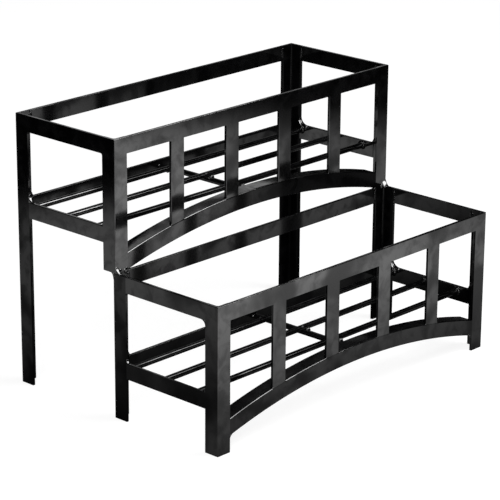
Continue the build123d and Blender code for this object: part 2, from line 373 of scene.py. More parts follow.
class RackWelds(bpy.types.PropertyGroup):
    """Sizes of the weld beads."""

    ripple: FloatProperty(
        name="Ripple",
        description="From one ripple of a bead to the next",
        unit="LENGTH",
        min=0.0005,
        default=0.0021,
    )
    ripple_depth: FloatProperty(
        name="Ripple Depth",
        description="Depth of the ripples as a share of the bead",
        subtype="FACTOR",
        min=0,
        max=0.5,
        default=0.16,
    )
    unevenness: FloatProperty(
        name="Unevenness",
        description="How much a bead swells and narrows, as a share of its size",
        subtype="FACTOR",
        min=0,
        max=0.5,
        default=0.12,
    )
    swell: FloatProperty(
        name="Corner Swell",
        description="How far a corner bead swells between its two sides",
        unit="LENGTH",
        min=0,
        default=0.0002,
    )
    lump: FloatProperty(
        name="Corner Lumps",
        description="Height of the lumps on a corner bead",
        unit="LENGTH",
        min=0,
        default=0.0001,
    )
    lump_width: FloatProperty(
        name="Corner Lump Width",
        description="From one lump on a corner bead to the next",
        unit="LENGTH",
        min=0.0005,
        default=0.004,
    )
    seam_width: FloatProperty(
        name="Seam Bead Width",
        description="Width of a bead over a seam",
        unit="LENGTH",
        min=0.001,
        default=0.0074,
    )
    seam_height: FloatProperty(
        name="Seam Bead Height",
        description="How far a bead over a seam stands off its face",
        unit="LENGTH",
        min=0.0005,
        default=0.0012,
    )
    ring_corner: FloatProperty(
        name="Ring Corner",
        description="Bead in a corner under an end rail of a ring",
        unit="LENGTH",
        min=0.001,
        default=0.003,
    )
    large_ring_corner: FloatProperty(
        name="Large Ring Corner",
        description="Bead under the lower ring's left end rail, at the front leg",
        unit="LENGTH",
        min=0.001,
        default=0.008,
    )
    shelf_corner: FloatProperty(
        name="Shelf Corner",
        description="Bead in a corner above a shelf rail",
        unit="LENGTH",
        min=0.001,
        default=0.006,
    )
    back_shelf_corner: FloatProperty(
        name="Back Shelf Corner",
        description="Bead above an end shelf rail, at a back leg other than the lower left one",
        unit="LENGTH",
        min=0.001,
        default=0.012,
    )
    foot: FloatProperty(
        name="Foot Bead",
        description="Bead behind an upright's foot and under the lower arch's ends",
        unit="LENGTH",
        min=0.001,
        default=0.005,
    )
    ground: FloatProperty(
        name="Ground Foot",
        description="Depth of the weld that is ground flush under an upright",
        unit="LENGTH",
        min=0.0005,
        default=0.0022,
    )
    step: FloatVectorProperty(
        name="Step Bead",
        description="Reach along the ring and rise up the leg of the bead before an upper front leg",
        size=2,
        unit="LENGTH",
        default=(0.0085, 0.0098),
    )
    step_width: FloatVectorProperty(
        name="Step Bead Width",
        description="Width of the bead before the left and the right upper front leg",
        size=2,
        unit="LENGTH",
        default=(0.0048, 0.0085),
    )
    step_turn: FloatVectorProperty(
        name="Step Bead Turn",
        description="How far the beads before the left and the right upper front leg turn to the left",
        size=2,
        unit="ROTATION",
        default=(0, math.radians(13)),
    )
    inner_web: FloatVectorProperty(
        name="Inner Web",
        description="Legs and width of the second bead inside the right back shelf corner",
        size=2,
        unit="LENGTH",
        default=(0.0075, 0.0034),
    )
    inner_turn: FloatProperty(
        name="Inner Web Turn",
        description="How far the second bead in the right back shelf corner turns to the left",
        subtype="ANGLE",
        min=0,
        default=math.radians(22),
    )
    corner_drop: FloatVectorProperty(
        name="Corner Drop",
        description="Radii of the drop beside the right shelf rail's back corner",
        size=3,
        unit="LENGTH",
        default=(0.0022, 0.0036, 0.0042),
    )
    overhang: FloatVectorProperty(
        name="Overhang Bead",
        description="Reach under the upper leg and drop down the lower one of the bead behind it",
        size=2,
        unit="LENGTH",
        default=(0.005, 0.010),
    )
    collar: FloatProperty(
        name="Collar",
        description="Bead round the end of a round bar",
        unit="LENGTH",
        min=0.0005,
        default=0.0038,
    )
    crossing: FloatProperty(
        name="Crossing Bead",
        description="Bead beside a rod where it lies on the cross bar",
        unit="LENGTH",
        min=0.0005,
        default=0.0042,
    )
    joint_drop: FloatVectorProperty(
        name="Joint Drop",
        description="Radii of the drops at an upper front leg's foot",
        size=3,
        unit="LENGTH",
        default=(0.0042, 0.0020, 0.0052),
    )
    spatter: FloatProperty(
        name="Spatter",
        description="Radius of the drops of spatter by the shelf",
        unit="LENGTH",
        min=0.0001,
        default=0.0022,
    )


class RackStudio(bpy.types.PropertyGroup):
    """Camera, lamps and floor."""

    azimuth: FloatProperty(
        name="Azimuth",
        description="How far the camera is turned round the rack from its front",
        subtype="ANGLE",
        default=math.radians(-47.004),
    )
    elevation: FloatProperty(
        name="Elevation",
        description="How far the camera stands above the horizon",
        subtype="ANGLE",
        default=math.radians(18.769),
    )
    roll: FloatProperty(
        name="Roll",
        description="How far the camera leans",
        subtype="ANGLE",
        default=math.radians(0.381),
    )
    distance: FloatProperty(
        name="Distance",
        description="From the camera to the point it turns round",
        unit="LENGTH",
        min=0.1,
        default=3.6298,
    )
    pivot: FloatVectorProperty(
        name="Pivot",
        description="The point that the camera turns round",
        subtype="TRANSLATION",
        unit="LENGTH",
        default=(0, 0.00232, 0.19365),
    )
    slide: FloatVectorProperty(
        name="Slide",
        description="How far the camera is moved to its right and upwards",
        size=2,
        unit="LENGTH",
        default=(-0.00958, -0.00451),
    )
    lens: FloatProperty(
        name="Lens",
        description="Focal length on a 36 mm sensor, in millimetres",
        min=10,
        default=168.17,
    )
    floor_width: FloatProperty(
        name="Floor Width",
        description="Side of the square floor",
        unit="LENGTH",
        min=1,
        default=40,
    )
    floor_shade: FloatVectorProperty(
        name="Floor Shade",
        description="Colour of the floor that catches light and shadow",
        subtype="COLOR",
        size=4,
        min=0,
        max=1,
        default=(0.22, 0.22, 0.22, 1),
    )
    # Painted shade: the gloss sees the floor outside its ring nearly black
    mirrored_floor_painted_shade: FloatVectorProperty(
        name="Mirrored Floor Shade",
        description="Colour that the gloss sees of the floor outside its bright ring",
        subtype="COLOR",
        size=4,
        min=0,
        max=1,
        default=(0.004, 0.004, 0.004, 1),
    )
    floor_white: FloatProperty(
        name="Floor White",
        description="How much of the floor's white shows near the rack whatever the light",
        subtype="FACTOR",
        min=0,
        max=1,
        default=0.88,
    )
    # Painted shadow: near the rack, inside where the ring begins, the gloss sees the floor dark
    ring_near: FloatVectorProperty(
        name="Ring Start",
        description="Where the bright ring on the floor begins, and where it is full",
        size=2,
        unit="LENGTH",
        default=(-0.07, 0.45),
    )
    ring_far: FloatVectorProperty(
        name="Ring End",
        description="Where the bright ring on the floor fades, and where it ends",
        size=2,
        unit="LENGTH",
        default=(0.78, 1.12),
    )
    key_power: FloatProperty(
        name="Key Power",
        description="Power of the lamp in front, in watts",
        min=0,
        default=62,
    )
    fill_power: FloatProperty(
        name="Fill Power",
        description="Power of the lamp on the left, in watts",
        min=0,
        default=45,
    )
    back_power: FloatProperty(
        name="Back Power",
        description="Power of the lamp behind, in watts",
        min=0,
        default=2.0,
    )
    room: FloatProperty(
        name="Room",
        description="Light from the walls and the ceiling",
        min=0,
        max=1,
        default=0.01,
    )


# Finish


def fill_socket(tree, socket, value):
    """Link another node's output to a socket, or set a plain value on it."""
    if isinstance(value, bpy.types.NodeSocket):
        tree.links.new(value, socket)
    else:
        socket.default_value = value


def add_noise(tree, vector, scale, detail, distortion):
    """Noise texture; returns its value."""
    node = tree.nodes.new("ShaderNodeTexNoise")
    node.inputs["Detail"].default_value = detail
    node.inputs["Distortion"].default_value = distortion
    fill_socket(tree, node.inputs["Vector"], vector)
    fill_socket(tree, node.inputs["Scale"], scale)
    return node.outputs["Fac"]


def add_range(tree, value, start, end, first, last, easing="SMOOTHSTEP"):
    """Value brought from one range to another."""
    node = tree.nodes.new("ShaderNodeMapRange")
    node.interpolation_type = easing
    fill_socket(tree, node.inputs["Value"], value)
    for name, number in (("From Min", start), ("From Max", end), ("To Min", first), ("To Max", last)):
        fill_socket(tree, node.inputs[name], number)
    return node.outputs["Result"]


def add_math(tree, operation, *values):
    """Result of one operation on the values given."""
    node = tree.nodes.new("ShaderNodeMath")
    node.operation = operation
    for socket, value in zip(node.inputs, values):
        fill_socket(tree, socket, value)
    return node.outputs["Value"]


def add_vector_math(tree, operation, *values):
    """Node for one operation on the vectors given."""
    node = tree.nodes.new("ShaderNodeVectorMath")
    node.operation = operation
    for socket, value in zip(node.inputs, values):
        fill_socket(tree, socket, value)
    return node


def add_colour_mix(tree, factor, first, second):
    """Colour between two others."""
    node = tree.nodes.new("ShaderNodeMix")
    node.data_type = "RGBA"
    fill_socket(tree, node.inputs["Factor"], factor)
    fill_socket(tree, node.inputs["A"], first)
    fill_socket(tree, node.inputs["B"], second)
    return node.outputs["Result"]


def coat_group():
    """Group that puts out where the coat is cloudy, where it shines, and its height."""
    tree = bpy.data.node_groups.new("uneven_coat", "ShaderNodeTree")
    sockets = tree.interface
    sockets.new_socket("Vector", in_out="INPUT", socket_type="NodeSocketVector")
    for name in ("Wide Scale", "Patch Scale", "Grain Scale"):
        sockets.new_socket(name, in_out="INPUT", socket_type="NodeSocketFloat")
    for name in ("Clouds", "Shine", "Height"):
        sockets.new_socket(name, in_out="OUTPUT", socket_type="NodeSocketFloat")
    entry = tree.nodes.new("NodeGroupInput")
    leave = tree.nodes.new("NodeGroupOutput")
    place = entry.outputs["Vector"]

    patches = add_noise(tree, place, entry.outputs["Patch Scale"], *PATCH_NOISE)
    clouds = add_range(tree, patches, *CLOUD_SPAN, 0, 1)
    tree.links.new(clouds, leave.inputs["Clouds"])

    wide = add_noise(tree, place, entry.outputs["Wide Scale"], *WIDE_NOISE)
    broad = add_range(tree, wide, *GLOSS_SPAN, 0, 1)
    dimmed = add_math(tree, "MULTIPLY_ADD", clouds, -CLOUD_DIMMING, 1)
    tree.links.new(add_math(tree, "MULTIPLY", broad, dimmed), leave.inputs["Shine"])

    grain = add_noise(tree, place, entry.outputs["Grain Scale"], *GRAIN_NOISE)
    height = add_math(tree, "MULTIPLY_ADD", patches, PATCH_HEIGHT, grain)
    tree.links.new(height, leave.inputs["Height"])
    return tree


def paint_material(name, paint, gloss_span, bump, gloss_blur, fade=None):
    """Black paint with cloudy patches, uneven gloss that may fade along X as painted shade or painted
    highlight, and a fine grain.
    """
    group = bpy.data.node_groups.get("uneven_coat") or coat_group()
    material = bpy.data.materials.new(name)
    material.use_nodes = True
    tree = material.node_tree
    shader = tree.nodes["Principled BSDF"]
    shader.inputs["Specular IOR Level"].default_value = SPECULAR
    shader.inputs["Coat Roughness"].default_value = gloss_blur
    shader.inputs["Coat IOR"].default_value = GLOSS_IOR
    place = tree.nodes.new("ShaderNodeTexCoord")
    coat = tree.nodes.new("ShaderNodeGroup")
    coat.node_tree = group
    fill_socket(tree, coat.inputs["Vector"], place.outputs["Object"])
    sizes = {"Wide Scale": paint.wide, "Patch Scale": paint.patch, "Grain Scale": paint.grain}
    for socket, size in sizes.items():
        coat.inputs[socket].default_value = 1 / size
    clouds, shine = coat.outputs["Clouds"], coat.outputs["Shine"]
    colour = add_colour_mix(tree, clouds, paint.dark, paint.light)
    fill_socket(tree, shader.inputs["Base Color"], colour)
    roughness = add_range(tree, clouds, 0, 1, paint.glossy, paint.dull)
    fill_socket(tree, shader.inputs["Roughness"], roughness)
    gloss = add_range(tree, shine, 0, 1, *gloss_span)
    if fade:
        along = add_vector_math(tree, "DOT_PRODUCT", place.outputs["Object"], RIGHT).outputs["Value"]
        gloss = add_math(tree, "MULTIPLY", gloss, add_range(tree, along, *fade, "LINEAR"))
    fill_socket(tree, shader.inputs["Coat Weight"], gloss)
    relief = tree.nodes.new("ShaderNodeBump")
    relief.inputs["Strength"].default_value = bump
    relief.inputs["Distance"].default_value = GRAIN_DEPTH
    fill_socket(tree, relief.inputs["Height"], coat.outputs["Height"])
    fill_socket(tree, shader.inputs["Normal"], relief.outputs["Normal"])


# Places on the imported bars


class Tier:
    """Levels and planes of one tier, read from its bars."""

    def __init__(self, name):
        self.name = name
        left_rail = self.box("left_top_rail")
        front_rail = self.box("front_top_rail")
        back_rail = self.box("back_top_rail")
        shelf_rail = self.box("left_shelf_rail")
        self.outer = -left_rail[0].x
        self.inner = -left_rail[1].x
        self.thickness = left_rail[1].x - left_rail[0].x
        self.span = front_rail[1].x
        self.front = front_rail[0].y
        self.inner_front = front_rail[1].y
        self.inner_back = back_rail[0].y
        self.back = back_rail[1].y
        self.front_toe = left_rail[0].y
        self.back_toe = left_rail[1].y
        self.ring_bottom = left_rail[0].z
        self.ring_top = left_rail[1].z
        self.shelf_top = shelf_rail[1].z
        low, high = self.box("front_arch")
        leg = high.y - low.y
        fall = high.z - low.z - leg
        self.arch_inner = (high.x**2 + fall**2) / (2 * fall)
        self.arch_outer = self.arch_inner + leg
        self.arch_axis = high.z - self.arch_outer

    def box(self, bar):
        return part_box(f"{self.name}_{bar}")

    def middle(self, bar):
        low, high = self.box(bar)
        return (low + high) / 2

    def arch_top(self, x):
        """Point on top of the arch, in the plane of the uprights' rear faces."""
        return Vector((x, self.inner_front, self.arch_axis + math.sqrt(self.arch_outer**2 - x**2)))


# Shapes of beads and arches


def join(target, piece):
    """Add a finished bead to the bmesh of its group."""
    mesh = bpy.data.meshes.new("bead")
    piece.to_mesh(mesh)
    piece.free()
    target.from_mesh(mesh)
    bpy.data.meshes.remove(mesh)


def random_drift(dice):
    """Where a bead's unevenness is read from, so that no two beads are alike."""
    return Vector([dice.uniform(0, DRIFT_SPAN) for _ in range(3)])


def raw_bead(length, side, height, welds, dice):
    """Rippled bead along X with blunt ends, its section half above and half below Z = 0."""
    piece = bmesh.new()
    rings = max(FEWEST_RINGS, round(length / welds.ripple * RINGS_PER_RIPPLE))
    bmesh.ops.create_uvsphere(piece, u_segments=BEAD_SIDES, v_segments=rings, radius=1)
    start = dice.random()
    drift = random_drift(dice)
    for vert in piece.verts:
        travel = math.asin(max(-1, min(1, vert.co.z))) / (math.pi / 2)
        across = Vector((vert.co.x, vert.co.y))
        if across.length > 0:
            across.normalize()
        along = travel * length / 2
        lag = RIPPLE_LAG * welds.ripple * across.x**2
        crest = abs(math.sin(math.pi * ((along + lag) / welds.ripple + start)))
        swell = math.sqrt(max(0, 1 - abs(travel) ** END_BLUNTNESS))
        uneven = noise.noise(Vector((along, across.x * side, across.y * side)) * BEAD_NOISE + drift)
        girth = swell * (1 - welds.ripple_depth * (1 - crest) + welds.unevenness * uneven)
        vert.co = (along, side * girth * across.x, height * girth * across.y)
    return piece


def straight_bead(target, start, end, normal, side, height, welds, dice):
    """Rippled bead between two points, standing off along a normal."""
    along = (end - start).normalized()
    piece = raw_bead((end - start).length, side, height, welds, dice)
    turn = Matrix((along, normal.cross(along), normal)).transposed().to_4x4()
    place = Matrix.Translation((start + end) / 2) @ turn
    bmesh.ops.transform(piece, matrix=place, verts=piece.verts)
    join(target, piece)


def collar_bead(target, centre, axis, start_ray, radius, sweep, welds, dice):
    """Rippled bead bent round a bar's end, in the corner between bar and face.

    axis points away from the face, and the bead's middle lies along start_ray. The bead takes its
    group's second coat.
    """
    piece = raw_bead(radius * sweep, welds.collar, welds.collar * COLLAR_HEIGHT, welds, dice)
    cross_ray = axis.cross(start_ray)
    for vert in piece.verts:
        angle = vert.co.x / radius
        ray = start_ray * math.cos(angle) + cross_ray * math.sin(angle)
        outward = (vert.co.y + vert.co.z) / math.sqrt(2)
        forward = (vert.co.z - vert.co.y) / math.sqrt(2)
        vert.co = centre + ray * (radius + outward) + axis * forward
    for face in piece.faces:
        face.material_index = 1
    join(target, piece)


def web_bead(target, corner, first, second, across, welds, dice, hollow=ROUND_WEB):
    """Hollow-faced bead that fills the corner between two edges.

    first and second run along the edges for the bead's legs; across is its thickness. A larger
    hollow makes a flatter face.
    """
    piece = bmesh.new()
    tip = piece.verts.new((1, 0, 0))
    centre = Vector((hollow, hollow, 0))
    ray, end_ray = tip.co - centre, Vector((0, 1, 0)) - centre
    bmesh.ops.spin(
        piece,
        geom=[tip],
        cent=centre,
        axis=UP,
        angle=-ray.angle(end_ray),
        steps=WEB_STEPS,
    )
    root = piece.verts.new((0, 0, 0))
    curve_ends = [vert for vert in piece.verts if len(vert.link_edges) == 1]
    for vert in curve_ends:
        piece.edges.new((root, vert))
    face = bmesh.ops.contextual_create(piece, geom=piece.edges[:])["faces"][0]
    for _ in range(WEB_LAYERS):
        grown = bmesh.ops.extrude_face_region(piece, geom=[face, *face.edges])["geom"]
        face = next(part for part in grown if isinstance(part, bmesh.types.BMFace))
        bmesh.ops.translate(piece, verts=face.verts, vec=UP / WEB_LAYERS)
    drift = random_drift(dice)
    turn = Matrix((first, second, across)).transposed()
    reach = (first.length + second.length) / 2
    for vert in piece.verts:
        ray = (vert.co - centre).xy.to_3d()
        if vert.co.xy.length > SAME_LENGTH:
            lump = noise.noise(turn @ vert.co / welds.lump_width + drift)
            rise = (welds.swell + welds.lump * lump) * math.sin(math.pi * vert.co.z)
            fade = min(1, RIM_GROWTH * min(vert.co.x, vert.co.y) + RIM_SHARE)
            vert.co -= ray.normalized() * rise / reach * fade
    place = Matrix.Translation(corner - across / 2) @ turn.to_4x4()
    bmesh.ops.transform(piece, matrix=place, verts=piece.verts)
    bmesh.ops.recalc_face_normals(piece, faces=piece.faces)
    join(target, piece)


def turned_web(target, corner, reach, rise, width, turn, welds, dice):
    """Web before a face that looks forward, turned to the left with its right end still on the face."""
    spin = Matrix.Rotation(-turn, 3, "Z")
    corner = corner + BACK * (width / 2 * math.sin(turn))
    first, across = spin @ (-BACK * reach), spin @ (RIGHT * width)
    web_bead(target, corner, first, UP * rise, across, welds, dice, FLAT_WEB)


def drop(target, place, radii, welds, dice):
    """Uneven drop of weld metal round a point."""
    piece = bmesh.new()
    bmesh.ops.create_icosphere(piece, subdivisions=DROP_FINENESS, radius=1)
    drift = random_drift(dice)
    for vert in piece.verts:
        vert.co *= 1 + welds.unevenness * noise.noise(vert.co * DROP_NOISE + drift)
    bmesh.ops.scale(piece, vec=radii, verts=piece.verts)
    bmesh.ops.translate(piece, vec=place, verts=piece.verts)
    join(target, piece)


def coat_by_facing(shape):
    """Give a shape's second coat to its faces that look forward, its third to those that look up. On the
    arches these coats are painted shade: weaker gloss on the fronts and almost none on the lower ledge.
    """
    bmesh.ops.recalc_face_normals(shape, faces=shape.faces)
    for face in shape.faces:
        if face.normal.y < -FRONT_FACING:
            face.material_index = 1
        elif face.normal.z > 0 and abs(face.normal.y) < LEVEL_FACING:
            face.material_index = 2


def finish_piece(context, name, shape, coats, node):
    """Make a painted object of a bmesh and put it in a CAD node's place."""
    mesh = bpy.data.meshes.new(name)
    bmesh.ops.recalc_face_normals(shape, faces=shape.faces)
    shape.to_mesh(mesh)
    shape.free()
    mesh.shade_smooth()
    for coat in coats:
        mesh.materials.append(bpy.data.materials[coat])
    piece = bpy.data.objects.new(name, mesh)
    context.collection.objects.link(piece)
    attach(piece, BODY)
    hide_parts(node)
    return piece


def near(value, goal):
    """Whether two lengths are the same but for rounding."""
    return abs(value - goal) < SAME_LENGTH


def lies_along(edge, y, radius):
    """Whether an edge runs along the arc at a depth and a radius round the Y axis."""
    return all(near(vert.co.y, y) and near(vert.co.xz.length, radius) for vert in edge.verts)


def rolled_section(corners, first, last, steps):
    """Section given by depths and radii, rolled round the Y axis from one angle to another."""
    shape = bmesh.new()
    section = shape.faces.new([shape.verts.new((0, y, radius)) for y, radius in corners])
    bmesh.ops.rotate(shape, verts=shape.verts, matrix=Matrix.Rotation(first, 3, "Y"))
    bmesh.ops.spin(
        shape,
        geom=[section, *section.edges, *section.verts],
        axis=BACK,
        angle=last - first,
        steps=steps,
    )
    return shape


def rolled_arch(tier, sizes):
    """Angle rolled to the arc that fills the arch's box, cut plumb at the legs."""
    low, high = tier.box("front_arch")
    inner, outer = tier.arch_inner, tier.arch_outer
    ledge = outer - tier.thickness
    heel = (low.y, outer)
    root = (low.y + tier.thickness, ledge)
    toes = ((low.y + tier.thickness, inner), (low.y, inner), (high.y, outer), (high.y, ledge))
    corners = (toes[0], toes[1], heel, toes[2], toes[3], root)
    half_angle = math.asin(high.x / inner) * ARCH_OVERRUN
    shape = rolled_section(corners, -half_angle, half_angle, ARCH_STEPS)
    for edges_at, radius in (((heel,), sizes.heel), ((root,), sizes.root), (toes, sizes.edge)):
        edges = [edge for edge in shape.edges if any(lies_along(edge, *place) for place in edges_at)]
        bmesh.ops.bevel(
            shape,
            geom=edges,
            offset=radius,
            segments=ARCH_ROUNDING,
            profile=0.5,
            affect="EDGES",
            material=-1,
        )
    for side in SIDES:
        cut = bmesh.ops.bisect_plane(
            shape,
            geom=shape.verts[:] + shape.edges[:] + shape.faces[:],
            plane_co=RIGHT * (side * high.x),
            plane_no=RIGHT * side,
            clear_outer=True,
        )["geom_cut"]
        rim = [part for part in cut if isinstance(part, bmesh.types.BMEdge)]
        bmesh.ops.contextual_create(shape, geom=rim)
    bmesh.ops.translate(shape, verts=shape.verts, vec=UP * tier.arch_axis)
    return shape


def ground_foot(target, tier, start, end, depth):
    """Weld metal ground flush under an upright, filling the groove over the arch's heel."""
    face = tier.front + GROUND_STEP
    corners = (
        (face, tier.arch_outer - depth),
        (face, tier.arch_outer + depth / 2),
        (face + depth, tier.arch_outer + depth / 2),
        (face + depth, tier.arch_outer - depth),
    )
    first, last = math.asin(start / tier.arch_outer), math.asin(end / tier.arch_outer)
    shape = rolled_section(corners, first, last, GROUND_STEPS)
    bmesh.ops.translate(shape, verts=shape.verts, vec=UP * tier.arch_axis)
    bmesh.ops.recalc_face_normals(shape, faces=shape.faces)
    join(target, shape)


# Operators


class RACK_OT_paint_bars(bpy.types.Operator):
    """Paint every bar of the rack"""

    bl_idname = "jar_rack.paint_bars"
    bl_label = "Paint Bars"

    def execute(self, context):
        paint = context.scene.rack_paint
        paint_material(BAR_COAT, paint, paint.gloss, *BAR_FINISH)
        paint_material(SHADED_BACK_COAT, paint, paint.shaded_back_gloss, *BAR_FINISH)
        # Painted highlight: the upper rods' gloss grows towards their left ends
        paint_material(ROD_HIGHLIGHT_COAT, paint, paint.shaded_back_gloss, *BAR_FINISH, ROD_HIGHLIGHT_FADE)
        paint_material(PAINTED_SHADE_COAT, paint, paint.painted_shade_gloss, *BAR_FINISH)
        paint_material(SHADED_ARCH_COAT, paint, paint.arch_gloss, *BAR_FINISH)
        paint_material(UPPER_ARCH_SHADE_COAT, paint, paint.arch_gloss, *BAR_FINISH, ARCH_SHADE_FADE)
        paint_material(BEAD_COAT, paint, paint.bead_gloss, *BEAD_FINISH)
        for name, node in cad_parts.items():
            node.data.materials.clear()
            coats = [coat for word, coat in NAMED_COATS.items() if word in name]
            node.data.materials.append(bpy.data.materials[coats[0] if coats else BAR_COAT])
        return {"FINISHED"}


class RACK_OT_arches(bpy.types.Operator):
    """Roll the two front arches"""

    bl_idname = "jar_rack.arches"
    bl_label = "Arches"

    def execute(self, context):
        for tier in map(Tier, TIERS):
            shape = rolled_arch(tier, context.scene.rack_arch)
            coat_by_facing(shape)
            # Painted shade: the fronts take weaker gloss and the lower ledge almost none
            coats = (BAR_COAT, FRONT_COATS[tier.name], LEDGE_COATS[tier.name])
            name, node = f"{tier.name}_rolled_arch", f"{tier.name}_front_arch"
            piece = finish_piece(context, name, shape, coats, node)
            piece.data.set_sharp_from_angle(angle=SHARP_EDGE)
            piece.modifiers.new("Flat Faces", "WEIGHTED_NORMAL").keep_sharp = True
        return {"FINISHED"}


class RACK_OT_ring_welds(bpy.types.Operator):
    """Lay the beads of both rings"""

    bl_idname = "jar_rack.ring_welds"
    bl_label = "Ring Welds"

    def execute(self, context):
        welds = context.scene.rack_welds
        for tier in map(Tier, TIERS):
            dice = random.Random(f"{tier.name} ring")
            shape = bmesh.new()
            inset = welds.seam_width / 2
            low = UP * (tier.ring_bottom + inset)
            high = UP * (tier.ring_top - inset)
            for side in SIDES:
                across = RIGHT * tier.thickness
                for toe, inward in ((tier.front_toe, BACK), (tier.back_toe, -BACK)):
                    middle = side * (tier.outer - tier.thickness / 2)
                    corner = Vector((middle, toe, tier.ring_bottom))
                    large = tier.name == "lower" and side < 0 and inward == BACK
                    leg = welds.large_ring_corner if large else welds.ring_corner
                    web_bead(shape, corner, inward * leg, -UP * leg, across, welds, dice)
                    place = Vector((side * tier.inner, toe, 0))
                    self.seam(shape, place, low, high, -side * RIGHT, welds, dice)
                for face, inward in ((tier.inner_front, BACK), (tier.inner_back, -BACK)):
                    place = Vector((side * tier.span, face, 0))
                    self.seam(shape, place, low, high, inward, welds, dice)
            # Painted shade: the ring beads take the back coat's weaker gloss, which dims their glints
            coats = (SHADED_BACK_COAT,)
            finish_piece(context, f"{tier.name}_ring_beads", shape, coats, f"{tier.name}_ring_welds")
        return {"FINISHED"}

    def seam(self, shape, place, low, high, normal, welds, dice):
        straight_bead(
            shape, place + low, place + high, normal, welds.seam_width / 2, welds.seam_height, welds, dice
        )


class RACK_OT_shelf_welds(bpy.types.Operator):
    """Lay the beads of both shelves"""

    bl_idname = "jar_rack.shelf_welds"
    bl_label = "Shelf Welds"

    def execute(self, context):
        welds = context.scene.rack_welds
        for tier in map(Tier, TIERS):
            dice = random.Random(f"{tier.name} shelf")
            shape = bmesh.new()
            self.corners(shape, tier, welds, dice)
            self.rod_ends(shape, tier, welds, dice)
            self.cross_bar(shape, tier, welds, dice)
            self.spatter(shape, tier, welds, dice)
            # Painted shade: the collars take the back coat's weaker gloss, which dims their glints
            coats = (BEAD_COAT, SHADED_BACK_COAT)
            finish_piece(context, f"{tier.name}_shelf_beads", shape, coats, f"{tier.name}_shelf_welds")
        return {"FINISHED"}

    def corners(self, shape, tier, welds, dice):
        for side in SIDES:
            middle = side * (tier.outer - tier.thickness / 2)
            across = RIGHT * tier.thickness
            small = welds.shelf_corner
            corner = Vector((middle, tier.front_toe, tier.shelf_top))
            web_bead(shape, corner, BACK * small, UP * small, across, welds, dice)
            lower_left = tier.name == "lower" and side < 0
            leg = small if lower_left else welds.back_shelf_corner
            corner = Vector((middle, tier.back_toe, tier.shelf_top))
            web_bead(shape, corner, -BACK * leg, UP * leg, across, welds, dice)
            corner = Vector((side * tier.span, tier.back - tier.thickness / 2, tier.shelf_top))
            web_bead(shape, corner, RIGHT * (-side * small), UP * small, BACK * tier.thickness, welds, dice)
        corner = Vector((tier.inner, tier.back_toe, tier.shelf_top))
        reach, width = welds.inner_web
        turned_web(shape, corner, reach, reach, width, welds.inner_turn, welds, dice)

    def rod_ends(self, shape, tier, welds, dice):
        for number in ROD_NUMBERS:
            rod = tier.middle(f"shelf_rod_{number}")
            low, high = tier.box(f"shelf_rod_{number}")
            radius = (high.z - low.z) / 2
            for side in SIDES:
                centre = Vector((side * tier.inner, rod.y, rod.z))
                collar_bead(shape, centre, -side * RIGHT, UP, radius, math.tau, welds, dice)

    def cross_bar(self, shape, tier, welds, dice):
        bar = tier.middle("shelf_cross_bar")
        low, high = tier.box("shelf_cross_bar")
        radius = (high.z - low.z) / 2
        for face, axis in ((tier.inner_front, BACK), (tier.inner_back, -BACK)):
            centre = Vector((bar.x, face, bar.z))
            start = Matrix.Rotation(math.pi - UNDER_SWEEP / 2, 3, axis) @ UP
            collar_bead(shape, centre, axis, start, radius, UNDER_SWEEP, welds, dice)
        reach = RIGHT * radius * CROSSING_REACH
        for number in ROD_NUMBERS:
            rod = tier.middle(f"shelf_rod_{number}")
            for way in SIDES:
                place = Vector((bar.x, rod.y + way * radius * CROSSING_SIDE, (rod.z + bar.z) / 2))
                normal = (way * BACK + UP * CROSSING_LEAN).normalized()
                straight_bead(
                    shape,
                    place - reach,
                    place + reach,
                    normal,
                    welds.crossing,
                    welds.crossing,
                    welds,
                    dice,
                )

    def spatter(self, shape, tier, welds, dice):
        """Drops on the rear rail beside the cross bar, on the middle rod and in the right back corner."""
        bar = tier.middle("shelf_cross_bar")
        rod = tier.middle("shelf_rod_2")
        level = tier.middle("rear_shelf_rail").z
        size = welds.spatter
        radii = Vector((size, size, size))
        drop(shape, Vector((bar.x - RAIL_SPATTER * size, tier.inner_back, level)), radii, welds, dice)
        aside, before, above = ROD_SPATTER
        place = Vector((bar.x - aside * size, rod.y - before * size, rod.z + above * size))
        drop(shape, place, radii, welds, dice)
        corner = Vector((tier.inner, tier.back_toe, tier.shelf_top))
        before, below = CORNER_SPATTER
        drop(shape, corner - BACK * before * size - UP * below * size, welds.corner_drop, welds, dice)


